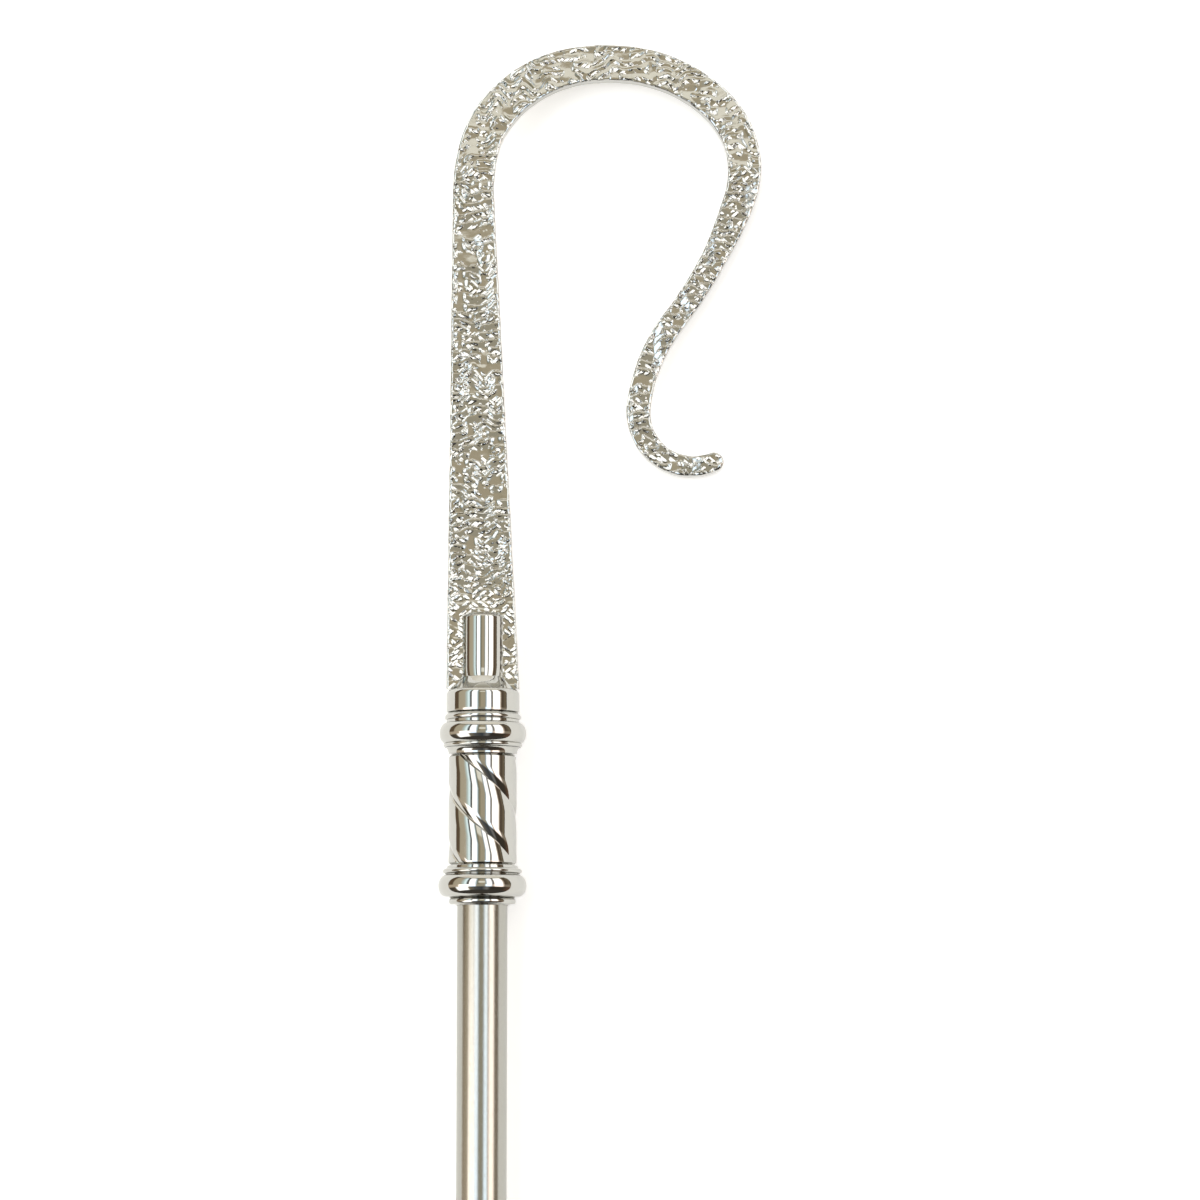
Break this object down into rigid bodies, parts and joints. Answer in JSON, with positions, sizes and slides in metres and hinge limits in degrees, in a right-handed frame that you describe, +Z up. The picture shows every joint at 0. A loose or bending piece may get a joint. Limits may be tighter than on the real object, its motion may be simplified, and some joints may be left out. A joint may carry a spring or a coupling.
{
  "type": "bishop crosier",
  "caption": "Ceremonial pastoral staff with a hammered metal crook, a turned collar, beaded knops round a spiral-fluted grip, and a long tubular shaft, lying on its side.",
  "frame": {"origin": "on the table that the crosier lies on, under the middle of its outline", "axes": "+Y runs along the staff towards the crook, +X is the side that the hook opens to, +Z is up from the table"},
  "size_m": [0.1608, 1.85, 0.0439],
  "materials": {
    "hammered_plate": "silver plate over cast brass, hammered and reticulated on both faces, bright smooth edges",
    "polished_plate": "warm silver plate over turned brass, mirror polished",
    "satin_plate": "warm silver plate over brass tube, satin polished along its length"
  },
  "bodies": {
    "root": {"crook": "hammered_plate", "crook_socket": "polished_plate", "upper_knop": "polished_plate", "spiral_grip": "polished_plate", "lower_knop": "polished_plate", "shaft_tube": "satin_plate", "foot_ferrule": "polished_plate"}
  },
  "joints": []
}
